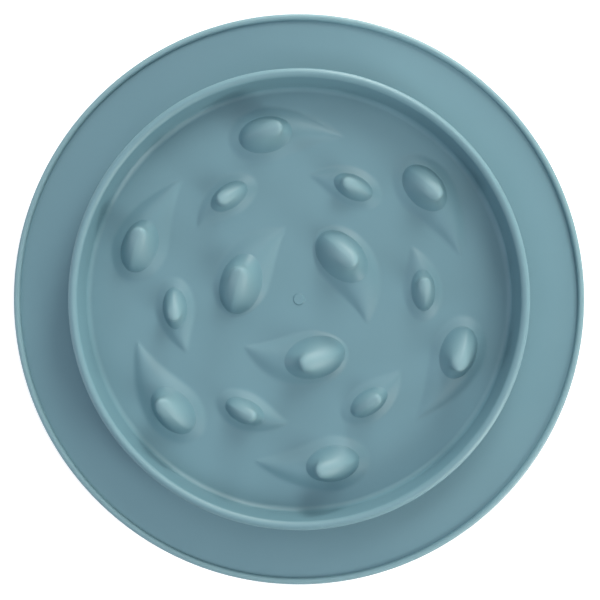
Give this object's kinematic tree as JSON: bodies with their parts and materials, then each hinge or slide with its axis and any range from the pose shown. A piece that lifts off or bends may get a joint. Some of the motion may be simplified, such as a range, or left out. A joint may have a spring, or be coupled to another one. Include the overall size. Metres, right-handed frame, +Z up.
{
  "type": "slow feeder mat",
  "caption": "Round soft feeding mat with a raised bowl rim, a spill lip on its edge, and a bowl floor of leaf-shaped mounds that carry leaning nubs to slow a pet's eating.",
  "frame": {"origin": "centre of the flat underside, on the bowl's axis", "axes": "+Z up out of the bowl, +Y towards the top of the picture, +X towards its right"},
  "size_m": [0.3, 0.3, 0.024],
  "materials": {
    "silicone": "satin moulded silicone, dusty teal"
  },
  "bodies": {
    "root": {"outer_mat": "silicone", "spill_lip": "silicone", "bowl_rim": "silicone", "bowl_floor": "silicone", "nub_outer_1": "silicone", "nub_outer_2": "silicone", "nub_outer_3": "silicone", "nub_outer_4": "silicone", "nub_outer_5": "silicone", "nub_outer_6": "silicone", "nub_middle_1": "silicone", "nub_middle_2": "silicone", "nub_middle_3": "silicone", "nub_middle_4": "silicone", "nub_middle_5": "silicone", "nub_middle_6": "silicone", "nub_inner_1": "silicone", "nub_inner_2": "silicone", "nub_inner_3": "silicone"}
  },
  "joints": []
}
